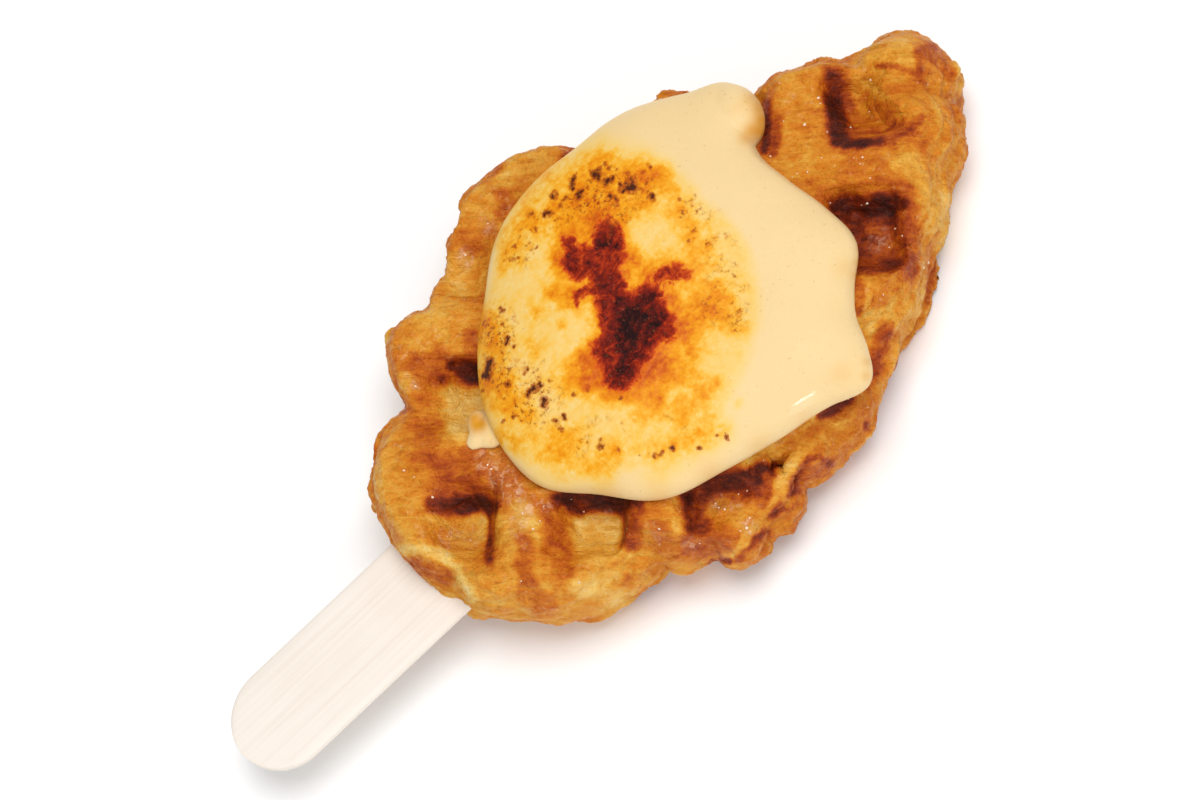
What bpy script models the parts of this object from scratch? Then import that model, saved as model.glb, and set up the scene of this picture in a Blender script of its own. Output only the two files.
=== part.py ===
"""Croffle on a stick: croissant dough pressed in a square waffle iron, a blob of torched
cream on top, and a flat wooden stick pushed in from one end. It lies flat, shown side up.

Frame: +X runs along the stick towards the pastry's tip, +Z is up, and the origin is at the
bottom centre of the whole object's box. Constants are in millimetres unless they say
degrees; meshes are in metres.
"""
import math

import bmesh
import bpy
import numpy as np
from mathutils import Matrix

MM = 0.001
COLLECTION = "croffle_on_a_stick"
GAP = 0.3                       # left between pieces that touch

# Waffle iron: two flat plates with square tapered teeth, on one grid.
PRESSED = 21.0                  # from plate to plate
PITCH = 22.6                    # from tooth to tooth
MOUTH = 15.2                    # a pocket's width at the pastry's face
FLOOR = 12.0                    # and at its floor
POCKET_DEPTH = 5.5
GRID_TURN = 48.7                # degrees, from the stick's axis to the teeth's columns
GRID_ORIGIN = (35.0, -17.0)     # the centre of one pocket
TEETH = range(-5, 5)            # tooth numbers along each of the grid's two directions
PLATE = 40.0                    # thick enough to clear the highest dough

# Dough before pressing: each lobe is an ellipsoid, as
# x, y, z of its middle, half its length, width and height, and its turn in degrees.
MID = PRESSED / 2
LOBES = (
    (-38.5, -2.0, MID, 14.0, 20.5, 14.0, 0),      # end that the stick goes into
    (-43.7, 2.6, MID, 10.9, 17.6, 14.0, -15),
    (-39.0, -13.5, MID, 13.3, 10.0, 13.0, 0),
    (-30.0, -18.0, MID, 17.5, 13.0, 14.0, -6),
    (-28.5, 15.0, MID, 10.0, 16.5, 17.0, 2),
    (-19.0, 18.0, MID, 10.5, 13.5, 17.0, 0),
    (-3.0, 16.5, MID, 20.0, 24.0, 22.0, 0),       # middle, the thickest
    (-12.0, -19.0, MID, 16.0, 18.4, 21.0, 0),
    (8.5, -18.0, MID, 18.0, 18.2, 21.0, -10),
    (22.5, 10.0, MID, 15.5, 19.0, 19.0, 0),
    (26.0, -13.0, MID, 17.8, 17.4, 19.0, 4),
    (39.0, -2.5, MID, 17.0, 20.6, 16.0, 0),
    (48.7, -7.7, MID, 10.3, 9.2, 12.5, 18),       # tip
    (56.7, 1.2, MID, 8.8, 8.9, 10.5, 0),
    (-12.8, -37.1, 9.0, 6.2, 4.0, 6.5, 0),        # folds that bulge out of the near side
    (-5.0, -36.1, 9.0, 5.0, 4.0, 6.5, 0),
    (4.5, -34.7, 9.0, 5.8, 4.0, 6.5, 0),
    (12.4, -34.5, 9.0, 5.4, 4.0, 6.5, 0),
    (21.4, -28.4, 8.0, 7.0, 5.0, 6.0, 25),
    (-32.4, -21.3, 7.0, 12.8, 8.5, 7.0, -12),
    (-21.5, -0.5, MID, 9.0, 9.0, 22.0, 0),        # under the cream, where the others part
)
LOBE_SEGMENTS = 40
DOUGH_VOXEL = 1.9
LAYER_RELIEF = 0.45             # how far the rolled layers' edges stand out
LAYER_HEIGHT = 6.5              # from one layer's edge to the next
LAYER_WAVE = 1.6                # how far an edge wanders up and down
LAYER_WAVELENGTH = 31.0         # and over what length

# Cream: the rim seen from above, anticlockwise, and the heights of a rounded blob.
RIM = (
    (31.5, 6.5), (31.0, -3.0), (32.0, -11.5), (31.5, -19.0), (26.5, -24.0), (23.0, -28.5),
    (21.0, -33.5), (17.5, -38.0), (11.5, -36.0), (2.0, -34.0), (-7.5, -31.5), (-17.5, -28.0),
    (-24.5, -19.5), (-30.0, -12.0), (-30.5, -4.0), (-28.3, 4.4), (-23.6, 11.8), (-16.5, 18.5),
    (-8.0, 25.5), (2.0, 28.0), (11.5, 27.0), (20.5, 26.0), (29.6, 20.9), (36.2, 15.8),
)
CREAM_CENTRE = (2.0, -1.0)
RIM_HEIGHT = PRESSED + 1.3      # the rim stands a little off the pastry's face
CREAM_RISE = 6.7                # from the rim to the top
CREAM_SINK = 7.5                # from the rim down, past the pockets' floors
SHOULDER = 3.2                  # how squarely the blob turns down at its rim
ROUNDNESS = 2.2
CREAM_SEGMENTS = 48
CREAM_LOBES = (                 # the same form as LOBES
    (32.3, 11.9, 22.0, 7.0, 4.6, 4.6, 86),        # knob where the cream was cut off
    (-31.2, 2.2, 21.2, 3.4, 2.9, 1.9, -10),       # drip
)

# Stick: a plain craft stick, its inner end hidden in the pastry.
STICK_LENGTH = 150.0
STICK_WIDTH = 18.0
STICK_THICKNESS = 1.8
STICK_EDGE = 0.35               # rounding of its edges
STICK_OUTER_END = -95.2
STICK_Y = -4.7
STICK_ARC_POINTS = 8            # curve resolution of each quarter of an end


def clear_scene():
    for old in list(bpy.data.objects):
        bpy.data.objects.remove(old, do_unlink=True)


def collection(name):
    made = bpy.data.collections.new(name)
    bpy.context.scene.collection.children.link(made)
    return made


def material(name, colour, roughness):
    made = bpy.data.materials.new(name)
    made.use_nodes = True
    shader = made.node_tree.nodes["Principled BSDF"]
    shader.inputs["Base Color"].default_value = (*colour, 1.0)
    shader.inputs["Roughness"].default_value = roughness
    shader.inputs["Metallic"].default_value = 0.0
    return made


def place(x, y, z, turn=0.0):
    """A matrix that moves to a point given in millimetres, after a turn about Z."""
    return Matrix.Translation((x * MM, y * MM, z * MM)) @ Matrix.Rotation(math.radians(turn), 4, "Z")


def add_lobe(bm, x, y, z, half_length, half_width, half_height, turn):
    size = Matrix.Diagonal((half_length * MM, half_width * MM, half_height * MM, 1.0))
    bmesh.ops.create_uvsphere(bm, u_segments=LOBE_SEGMENTS, v_segments=LOBE_SEGMENTS // 2,
                              radius=1.0, matrix=place(x, y, z, turn) @ size)


def mesh_object(name, bm, group):
    mesh = bpy.data.meshes.new(name)
    bm.to_mesh(mesh)
    bm.free()
    made = bpy.data.objects.new(name, mesh)
    group.objects.link(made)
    return made


def cutter(name, bm, group):
    made = mesh_object(name, bm, group)
    made.hide_render = True
    made.display_type = "WIRE"
    return made


def apply_modifiers(piece):
    """Give the piece its evaluated mesh, with no modifiers left on it."""
    evaluated = piece.evaluated_get(bpy.context.evaluated_depsgraph_get())
    mesh = bpy.data.meshes.new_from_object(evaluated)
    piece.modifiers.clear()
    piece.data = mesh


def remesh(piece, voxel):
    modifier = piece.modifiers.new("fuse", "REMESH")
    modifier.mode = "VOXEL"
    modifier.voxel_size = voxel * MM
    apply_modifiers(piece)


def cut(piece, tool, operation="DIFFERENCE", solver="EXACT"):
    modifier = piece.modifiers.new(tool.name, "BOOLEAN")
    modifier.operation = operation
    modifier.object = tool
    modifier.solver = solver
    apply_modifiers(piece)


def keep_largest_body(piece):
    """Drop the crumbs that a cut leaves beside the piece."""
    bm = bmesh.new()
    bm.from_mesh(piece.data)
    left = set(bm.verts)
    bodies = []
    while left:
        body = set()
        front = [left.pop()]
        while front:
            vertex = front.pop()
            body.add(vertex)
            near = {edge.other_vert(vertex) for edge in vertex.link_edges} & left
            left -= near
            front.extend(near)
        bodies.append(body)
    bodies.sort(key=len, reverse=True)
    for crumb in bodies[1:]:
        bmesh.ops.delete(bm, geom=list(crumb), context="VERTS")
    bm.to_mesh(piece.data)
    bm.free()


def show_layers(piece):
    """Push the dough's sides out in soft bands, the edges of its rolled layers."""
    mesh = piece.data
    count = len(mesh.vertices)
    points = np.empty(count * 3)
    normals = np.empty(count * 3)
    mesh.vertices.foreach_get("co", points)
    mesh.vertex_normals.foreach_get("vector", normals)
    points = points.reshape(count, 3) / MM
    normals = normals.reshape(count, 3)
    along = 2 * math.pi * (points[:, 0] + 0.6 * points[:, 1]) / LAYER_WAVELENGTH
    height = points[:, 2] + LAYER_WAVE * np.sin(along)
    band = np.sin(2 * math.pi * height / LAYER_HEIGHT)
    sideways = 1.0 - np.abs(normals[:, 2])
    points += normals * (LAYER_RELIEF * band * sideways)[:, None]
    mesh.vertices.foreach_set("co", (points * MM).ravel())


def iron_plate(name, group, face, up):
    """A plate whose flat lies at height face; its teeth point into the dough."""
    sign = 1.0 if up else -1.0
    bm = bmesh.new()
    size = Matrix.Diagonal((300 * MM, 300 * MM, PLATE * MM, 1.0))
    bmesh.ops.create_cube(bm, size=1.0, matrix=place(0, 0, face + sign * PLATE / 2) @ size)
    return cutter(name, bm, group)


def iron_teeth(name, group, face, up):
    """Square tapered teeth, each a four-sided cone set at the grid's turn."""
    sign = 1.0 if up else -1.0
    bm = bmesh.new()
    slope = (MOUTH - FLOOR) / POCKET_DEPTH
    overlap = 1.0                               # a tooth starts this far outside the face
    root = MOUTH + slope * overlap
    height = POCKET_DEPTH + overlap
    across = math.sqrt(0.5)                     # half a square's diagonal, for a side of 1
    column = Matrix.Rotation(math.radians(GRID_TURN), 2) @ Matrix(((PITCH, 0.0), (0.0, PITCH)))
    for i in TEETH:
        for j in TEETH:
            x = GRID_ORIGIN[0] + column[0][0] * i + column[0][1] * j
            y = GRID_ORIGIN[1] + column[1][0] * i + column[1][1] * j
            middle = face + sign * (overlap - height / 2)
            widths = (FLOOR, root) if up else (root, FLOOR)
            bmesh.ops.create_cone(bm, cap_ends=True, segments=4, depth=height * MM,
                                  radius1=widths[0] * across * MM, radius2=widths[1] * across * MM,
                                  matrix=place(x, y, middle, GRID_TURN + 45.0))
    return cutter(name, bm, group)


def stick_curve(name, group, width, thickness, inner_end, outer_end):
    """A flat outline with round ends, extruded about the pastry's mid height."""
    radius = width / 2
    kappa = 0.5523 * radius                     # handle length of a quarter circle
    left = outer_end + radius
    right = inner_end - radius
    stops = (                                   # point, and the direction the outline runs in
        ((right, -radius), (1, 0)), ((inner_end, 0), (0, 1)), ((right, radius), (-1, 0)),
        ((left, radius), (-1, 0)), ((outer_end, 0), (0, -1)), ((left, -radius), (1, 0)),
    )
    curve = bpy.data.curves.new(name, "CURVE")
    curve.dimensions = "2D"
    curve.fill_mode = "BOTH"
    curve.extrude = thickness / 2 * MM
    curve.resolution_u = STICK_ARC_POINTS
    spline = curve.splines.new("BEZIER")
    spline.bezier_points.add(len(stops) - 1)
    spline.use_cyclic_u = True
    for point, (place_mm, way) in zip(spline.bezier_points, stops):
        point.co = (place_mm[0] * MM, place_mm[1] * MM, 0.0)
        point.handle_left_type = point.handle_right_type = "FREE"
        point.handle_left = (point.co.x - way[0] * kappa * MM, point.co.y - way[1] * kappa * MM, 0.0)
        point.handle_right = (point.co.x + way[0] * kappa * MM, point.co.y + way[1] * kappa * MM, 0.0)
    outline = bpy.data.objects.new(name + "_outline", curve)
    group.objects.link(outline)
    outline.location = (0.0, STICK_Y * MM, MID * MM)
    bpy.context.view_layer.update()
    evaluated = outline.evaluated_get(bpy.context.evaluated_depsgraph_get())
    mesh = bpy.data.meshes.new_from_object(evaluated)
    bm = bmesh.new()
    bm.from_mesh(mesh)
    bmesh.ops.remove_doubles(bm, verts=bm.verts, dist=1e-6)
    bm.transform(outline.matrix_world)
    bpy.data.objects.remove(outline, do_unlink=True)
    return bm


def make_croffle(group, cutters):
    bm = bmesh.new()
    for lobe in LOBES:
        add_lobe(bm, *lobe)
    croffle = mesh_object("croffle", bm, group)
    remesh(croffle, DOUGH_VOXEL)
    show_layers(croffle)
    # The exact solver leaves scraps of this dough, so its cuts use the manifold one.
    for side, face, up in (("upper", PRESSED, True), ("lower", 0.0, False)):
        cut(croffle, iron_plate(side + "_plate", cutters, face, up), solver="MANIFOLD")
        cut(croffle, iron_teeth(side + "_teeth", cutters, face, up), solver="MANIFOLD")
    slot = stick_curve("stick_slot", cutters, STICK_WIDTH + 2 * GAP, STICK_THICKNESS + 2 * GAP,
                       STICK_OUTER_END + STICK_LENGTH + GAP, STICK_OUTER_END - GAP)
    cut(croffle, cutter("stick_slot", slot, cutters), solver="MANIFOLD")
    keep_largest_body(croffle)
    return croffle


def rim_radius(angle):
    """The rim's distance from the cream's centre, smooth through the RIM points."""
    points = np.array(RIM) - CREAM_CENTRE
    angles = np.arctan2(points[:, 1], points[:, 0])
    order = np.argsort(angles)
    knots = angles[order]
    radii = np.hypot(points[:, 0], points[:, 1])[order]
    knots = np.concatenate((knots[-2:] - 2 * math.pi, knots, knots[:2] + 2 * math.pi))
    radii = np.concatenate((radii[-2:], radii, radii[:2]))
    slopes = np.gradient(radii, knots)
    k = np.searchsorted(knots, angle) - 1
    span = knots[k + 1] - knots[k]
    t = (angle - knots[k]) / span
    return ((2 * t**3 - 3 * t**2 + 1) * radii[k] + (t**3 - 2 * t**2 + t) * span * slopes[k]
            + (3 * t**2 - 2 * t**3) * radii[k + 1] + (t**3 - t**2) * span * slopes[k + 1])


def shape_cream(bm):
    """Turn a unit sphere into the blob: its equator becomes the rim."""
    for vertex in bm.verts:
        x, y, z = vertex.co
        reach = min(math.hypot(x, y), 1.0)
        angle = math.atan2(y, x)
        radius = reach * float(rim_radius(angle))
        body = max(1.0 - reach**SHOULDER, 0.0) ** (1.0 / ROUNDNESS)
        height = body * (CREAM_RISE if z > 0 else -CREAM_SINK)
        vertex.co = ((CREAM_CENTRE[0] + radius * math.cos(angle)) * MM,
                     (CREAM_CENTRE[1] + radius * math.sin(angle)) * MM,
                     (RIM_HEIGHT + height) * MM)


def make_cream(group, cutters, croffle):
    """The blob with its knob and drip, less the pastry that it lies on and sinks into."""
    bm = bmesh.new()
    bmesh.ops.create_uvsphere(bm, u_segments=CREAM_SEGMENTS, v_segments=CREAM_SEGMENTS // 3, radius=1.0)
    shape_cream(bm)
    cream = mesh_object("cream", bm, group)
    for number, lobe in enumerate(CREAM_LOBES):
        bm = bmesh.new()
        bmesh.ops.create_uvsphere(bm, u_segments=16, v_segments=10, radius=1.0)
        x, y, z, half_length, half_width, half_height, turn = lobe
        bm.transform(place(x, y, z, turn) @ Matrix.Diagonal((half_length * MM, half_width * MM,
                                                            half_height * MM, 1.0)))
        cut(cream, cutter(f"cream_lobe_{number}", bm, cutters), "UNION")
    bm = bmesh.new()
    bm.from_mesh(croffle.data)
    under = cutter("pastry_under_cream", bm, cutters)
    swell = under.modifiers.new("clearance", "DISPLACE")
    swell.strength = 1.4 * GAP * MM             # corners move less far than flats
    swell.mid_level = 0.0
    # The exact solver leaves holes along the folds of this cutter.
    cut(cream, under, solver="MANIFOLD")
    keep_largest_body(cream)
    return cream


def make_stick(group, cutters):
    bm = stick_curve("stick", cutters, STICK_WIDTH, STICK_THICKNESS,
                     STICK_OUTER_END + STICK_LENGTH, STICK_OUTER_END)
    stick = mesh_object("stick", bm, group)
    bevel = stick.modifiers.new("eased_edges", "BEVEL")
    bevel.width = STICK_EDGE * MM
    bevel.segments = 2
    bevel.limit_method = "ANGLE"
    return stick


def shade(piece, finish):
    piece.data.materials.clear()
    piece.data.materials.append(finish)
    piece.data.shade_smooth()
    piece.data.set_sharp_from_angle(angle=math.radians(35.0))


def stand_on_origin(pieces, group):
    """Parent the pieces to an empty and move it, so that the box's bottom centre is at the origin."""
    bpy.context.view_layer.update()
    graph = bpy.context.evaluated_depsgraph_get()
    corners = []
    for piece in pieces:
        mesh = piece.evaluated_get(graph).to_mesh()
        corners.append(np.array([piece.matrix_world @ vertex.co for vertex in mesh.vertices]))
    corners = np.concatenate(corners)
    low = corners.min(axis=0)
    high = corners.max(axis=0)
    root = bpy.data.objects.new(COLLECTION + "_origin", None)
    group.objects.link(root)
    for piece in pieces:
        piece.parent = root
    root.location = (-(low[0] + high[0]) / 2, -(low[1] + high[1]) / 2, -low[2])


def main():
    clear_scene()
    group = collection(COLLECTION)
    cutters = collection("cutters")
    croffle = make_croffle(group, cutters)
    cream = make_cream(group, cutters, croffle)
    stick = make_stick(group, cutters)
    shade(croffle, material("baked_dough", (0.62, 0.26, 0.07), 0.55))
    shade(cream, material("torched_cream", (0.94, 0.67, 0.32), 0.42))
    shade(stick, material("birch_wood", (0.88, 0.79, 0.68), 0.7))
    stand_on_origin([croffle, cream, stick], group)


main()
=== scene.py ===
"""Looks of the croffle on a stick: fine meshes and materials for the pastry, the torched
cream, the stick and the sugar on them, on a pale floor under soft light.

Constants are in millimetres in the stick's frame, as in the part's source: +X runs along
the stick towards the pastry's tip, +Y is to the far side and the pastry lies on z = 0.
Pieces are shaped in millimetres and end in metres in the row's frame.
"""
import math

import bpy
import numpy as np
from mathutils import Matrix, Vector


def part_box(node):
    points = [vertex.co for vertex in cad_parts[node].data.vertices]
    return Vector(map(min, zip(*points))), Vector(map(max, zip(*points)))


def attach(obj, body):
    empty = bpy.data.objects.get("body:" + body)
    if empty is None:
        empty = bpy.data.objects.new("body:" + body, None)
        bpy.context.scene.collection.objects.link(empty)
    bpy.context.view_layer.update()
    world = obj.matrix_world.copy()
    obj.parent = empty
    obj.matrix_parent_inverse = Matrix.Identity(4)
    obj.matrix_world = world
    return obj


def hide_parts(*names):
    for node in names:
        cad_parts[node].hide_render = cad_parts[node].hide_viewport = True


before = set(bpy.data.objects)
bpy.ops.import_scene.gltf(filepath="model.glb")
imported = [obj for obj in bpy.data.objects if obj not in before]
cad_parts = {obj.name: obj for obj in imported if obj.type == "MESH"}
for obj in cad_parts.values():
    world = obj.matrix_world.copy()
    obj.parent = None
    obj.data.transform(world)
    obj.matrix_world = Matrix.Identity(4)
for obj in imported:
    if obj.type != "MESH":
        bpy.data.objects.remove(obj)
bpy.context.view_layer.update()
MM = 0.001

# ---- what the part's source fixes ----
PRESSED = 21.0  # pastry's thickness between the iron's flats
PITCH = 22.6  # the iron's grid
POCKET_DEPTH = 5.5
GRID_TURN = math.radians(48.7)
GRID_ORIGIN = (35.0, -17.0)
MID = PRESSED / 2
LOBES = (  # x, y, z, half length, half width, half height, turn
    (-38.5, -2, MID, 14, 20.5, 14, 0),
    (-43.7, 2.6, MID, 10.9, 17.6, 14, -15),
    (-39, -13.5, MID, 13.3, 10, 13, 0),
    (-30, -18, MID, 17.5, 13, 14, -6),
    (-28.5, 15, MID, 10, 16.5, 17, 2),
    (-19, 18, MID, 10.5, 13.5, 17, 0),
    (-3, 16.5, MID, 20, 24, 22, 0),
    (-12, -19, MID, 16, 18.4, 21, 0),
    (8.5, -18, MID, 18, 18.2, 21, -10),
    (22.5, 10, MID, 15.5, 19, 19, 0),
    (26, -13, MID, 17.8, 17.4, 19, 4),
    (39, -2.5, MID, 17, 20.6, 16, 0),
    (48.7, -7.7, MID, 10.3, 9.2, 12.5, 18),
    (56.7, 1.2, MID, 8.8, 8.9, 10.5, 0),
)
FOLDS = (
    (-12.8, -37.1, 9, 6.2, 4, 6.5, 0),
    (-5, -36.1, 9, 5, 4, 6.5, 0),
    (4.5, -34.7, 9, 5.8, 4, 6.5, 0),
    (12.4, -34.5, 9, 5.4, 4, 6.5, 0),
    (21.4, -28.4, 8, 7, 5, 6, 25),
    (-32.4, -21.3, 7, 12.8, 8.5, 7, -12),
)
INNER = ((-21.5, -0.5, MID, 9, 9, 22, 0),)  # under the cream, where the others part
TORN = (  # corners of torn layers that stick out
    (-13.9, 35.7, 13.5, 2.2, 1.5, 0.9, 60), (-8.2, 40, 14, 2, 1.3, 1, 20),
    (-5.6, 40.2, 13.5, 2, 1.2, 1, -30), (-32.2, 30.4, 13.5, 1.8, 1.3, 1, 50),
    (52.2, 9, 14, 1.8, 1.3, 1, 0), (55, 8, 14, 1.6, 1.3, 1, 40), (62.9, -3.9, 13, 1.8, 1.3, 1, -20),
    (55, -12.6, 8, 1.8, 1.3, 1.6, -40), (43.6, -20.9, 8, 1.8, 1.2, 1, -30),
    (-52.6, 9.8, 13, 1.6, 1.1, 0.9, 60), (-20.4, -32.6, 8.5, 4, 2, 3, -25),
    (18.6, -32.6, 8.5, 3.6, 2.3, 4, 35), (56.4, -7.8, 10, 3.4, 1.7, 4, -42),
    (27.6, 28.8, 13, 2.4, 1.5, 1.4, -45), (30.2, 26.3, 13, 2.4, 1.5, 1.4, -50),
    (-50.8, -14.5, 7, 3.2, 1.2, 1.6, -45), (-10.6, -38.6, 7, 2.6, 1.8, 3, 50),
    (-6, -38.7, 7, 2.6, 1.8, 3, 50),
)
RIM = (
    (31.5, 6.5), (31, -3), (32, -11.5), (31.5, -19), (26.5, -24), (23, -28.5),
    (21, -33.5), (17.5, -38), (11.5, -36), (2, -34), (-7.5, -31.5), (-17.5, -28),
    (-24.5, -19.5), (-30, -12), (-30.5, -4), (-28.3, 4.4), (-23.6, 11.8), (-16.5, 18.5),
    (-8, 25.5), (2, 28), (11.5, 27), (20.5, 26), (29.6, 20.9), (36.2, 15.8),
)
CREAM_CENTRE = (2.0, -1.0)
RIM_HEIGHT = PRESSED + 1.3
CREAM_RISE = 6.7
CREAM_SINK = 7.5
SHOULDER = 3.2
ROUNDNESS = 2.2
BLOBS = (  # the knob on the far side, then a drip beside the rim
    (32.6, 11.9, 22, 5.7, 4.3, 4.4, 70),
    (-31, 4.8, 20.3, 1.9, 1.3, 1.5, 43), (-31.8, 2.9, 20.7, 2, 1.5, 1.1, 43),
    (-33.2, 2.3, 20.8, 1.3, 1.2, 1, 0), (-31.5, 0.6, 20.7, 2, 1, 0.9, -47),
    (-30, 4.6, 18.9, 1.7, 1.6, 1.9, 0), (-31, 4.2, 19.6, 1.2, 1.2, 1.2, 0),
    (-29.9, 2.2, 20.6, 2.1, 1.8, 1.6, 0),
)
STICK_OUTER_END = -95.2
STICK_LENGTH = 150.0
STICK_WIDTH = 18.0
STICK_THICKNESS = 1.8
STICK_Y = -4.7

stick_low, stick_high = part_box("stick")
SHIFT = Vector((stick_low[0] / MM - STICK_OUTER_END,
                (stick_low[1] + stick_high[1]) / 2 / MM - STICK_Y, 0.0))

# ---- camera ----
STICK_WIDTH_PX = 104.4  # the stick's width in the photograph
TILT = math.radians(27.0)  # how far the camera leans from straight above, to the near side
ROLL = math.radians(43.3)  # the stick's rise above the picture's horizontal
AIM = (-14.2, -2.4, MID)  # the point in the middle of the picture
LENS = 100.0
SENSOR = 36.0
FRAME_PX = (1200, 800)
SEED = 11


def camera_frame():
    """The camera's place and its right, up and back directions, in the stick's frame."""
    px = (STICK_WIDTH * math.cos(TILT) + STICK_THICKNESS * math.sin(TILT)) / STICK_WIDTH_PX
    distance = px * FRAME_PX[0] / SENSOR * LENS
    back = Vector((0, -math.sin(TILT), math.cos(TILT)))
    along = Vector((1, 0, 0))
    across = Vector((0, math.cos(TILT), math.sin(TILT)))
    right = along * math.cos(ROLL) - across * math.sin(ROLL)
    up = along * math.sin(ROLL) + across * math.cos(ROLL)
    return Vector(AIM) + back * distance, right, up, back


PLACE, RIGHT, UP, BACK = camera_frame()


def seen(points):
    """Where points fall in the photograph, in its pixels from its upper left corner."""
    rays = points - np.array(PLACE)
    scale = FRAME_PX[0] / SENSOR * LENS / -(rays @ np.array(BACK))
    return np.stack((FRAME_PX[0] / 2 + scale * (rays @ np.array(RIGHT)),
                     FRAME_PX[1] / 2 - scale * (rays @ np.array(UP))), 1)


# ---- smooth noise ----
def hashed(cells, seed):
    """A number from 0 to 1 for each cell of a whole-number lattice."""
    x, y, z = (cells[:, k].astype(np.int64).astype(np.uint32) for k in range(3))
    mixed = x * np.uint32(73856093) ^ y * np.uint32(19349663) ^ z * np.uint32(83492791)
    mixed = mixed ^ np.uint32((seed * 2654435761) % 2**32)
    mixed ^= mixed >> np.uint32(13)
    mixed *= np.uint32(1274126177)
    mixed ^= mixed >> np.uint32(16)
    return mixed / 2.0**32


def noise(points, size, seed):
    """Smooth noise from -1 to 1, its bumps about size millimetres across."""
    scaled = points / size
    cell = np.floor(scaled)
    t = scaled - cell
    fade = t * t * t * (t * (6 * t - 15) + 10)
    total = np.zeros(len(points))
    for corner in np.ndindex(2, 2, 2):
        weight = np.prod(np.where(corner, fade, 1 - fade), axis=1)
        total += weight * hashed(cell + corner, seed)
    return 2 * total - 1


def fractal(points, size, octaves, seed):
    """Noise of several sizes, each half the last in size and height."""
    total = np.zeros(len(points))
    for k in range(octaves):
        total += noise(points, size / 2**k, seed + 17 * k) / 2**k
    return total


def wander(points, size, octaves, seed):
    """Two fractals side by side, to move picture points about with."""
    return np.stack((fractal(points, size, octaves, seed), fractal(points, size, octaves, seed + 1)), 1)


def smoothstep(low, high, value):
    t = np.clip((value - low) / (high - low), 0, 1)
    return t * t * (3 - 2 * t)


# ---- meshes ----
def in_scene(name, data):
    thing = bpy.data.objects.new(name, data)
    bpy.context.scene.collection.objects.link(thing)
    return thing


def apply_modifiers(piece):
    bpy.context.view_layer.update()
    evaluated = piece.evaluated_get(bpy.context.evaluated_depsgraph_get())
    mesh = bpy.data.meshes.new_from_object(evaluated)
    mesh.name = piece.name
    piece.modifiers.clear()
    piece.data = mesh


def remesh(piece, voxel):
    modifier = piece.modifiers.new("fuse", "REMESH")
    modifier.mode = "VOXEL"
    modifier.voxel_size = voxel
    apply_modifiers(piece)


def smooth(piece, repeats):
    modifier = piece.modifiers.new("smooth", "SMOOTH")
    modifier.iterations = repeats
    apply_modifiers(piece)


def read_vectors(collection, key):
    values = np.empty(len(collection) * 3)
    collection.foreach_get(key, values)
    return values.reshape(-1, 3)


def points_of(piece):
    return read_vectors(piece.data.vertices, "co")


def surface_of(piece):
    """Its points, and the direction that its surface faces at each."""
    return points_of(piece), read_vectors(piece.data.vertex_normals, "vector")


def set_points(piece, points):
    piece.data.vertices.foreach_set("co", np.ascontiguousarray(points).ravel())
    piece.data.update()


def set_attribute(piece, name, values):
    attribute = piece.data.attributes.new(name, "FLOAT", "POINT")
    attribute.data.foreach_set("value", np.ascontiguousarray(values, dtype=np.float32))


def ellipsoid(lobe, lean=(0.0, 0.0), segments=40):
    """Points and faces of an ellipsoid: x, y, z, three half sizes and a turn about Z."""
    x, y, z, half_length, half_width, half_height, turn = lobe
    rings = segments // 2
    down = np.pi * np.arange(1, rings) / rings
    round_ = 2 * np.pi * np.arange(segments) / segments
    down, round_ = (grid.ravel() for grid in np.meshgrid(down, round_, indexing="ij"))
    unit = np.stack((np.sin(down) * np.cos(round_), np.sin(down) * np.sin(round_), np.cos(down)), 1)
    unit = np.concatenate((unit, ((0, 0, 1), (0, 0, -1))))
    turned = Matrix.Rotation(lean[0], 3, "X") @ Matrix.Rotation(lean[1], 3, "Y") @ Matrix.Rotation(
        math.radians(turn), 3, "Z")
    points = unit * (half_length, half_width, half_height) @ np.array(turned).T + (x, y, z)
    top, bottom = len(unit) - 2, len(unit) - 1
    faces = []
    for n in range(segments):
        m = (n + 1) % segments
        faces.append((top, n, m))
        faces.append((bottom, (rings - 2) * segments + m, (rings - 2) * segments + n))
        for k in range(rings - 2):
            a, b = k * segments, (k + 1) * segments
            faces.append((a + n, b + n, b + m, a + m))
    return points, faces


def joined(name, bodies):
    """One object of many closed bodies, still overlapping."""
    points, faces, start = [], [], 0
    for body_points, body_faces in bodies:
        points.append(body_points)
        faces.extend([tuple(start + corner for corner in face) for face in body_faces])
        start += len(body_points)
    mesh = bpy.data.meshes.new(name)
    mesh.from_pydata(np.concatenate(points).tolist(), [], faces)
    return in_scene(name, mesh)


def finish_piece(piece, node, material):
    """From millimetres in the stick's frame to metres in the row's frame, and on to its body."""
    piece.data.transform(Matrix.Scale(MM, 4) @ Matrix.Translation(SHIFT))
    piece.data.materials.clear()
    piece.data.materials.append(material)
    piece.data.shade_smooth()
    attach(piece, "root")
    if node:
        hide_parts(node)


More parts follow.
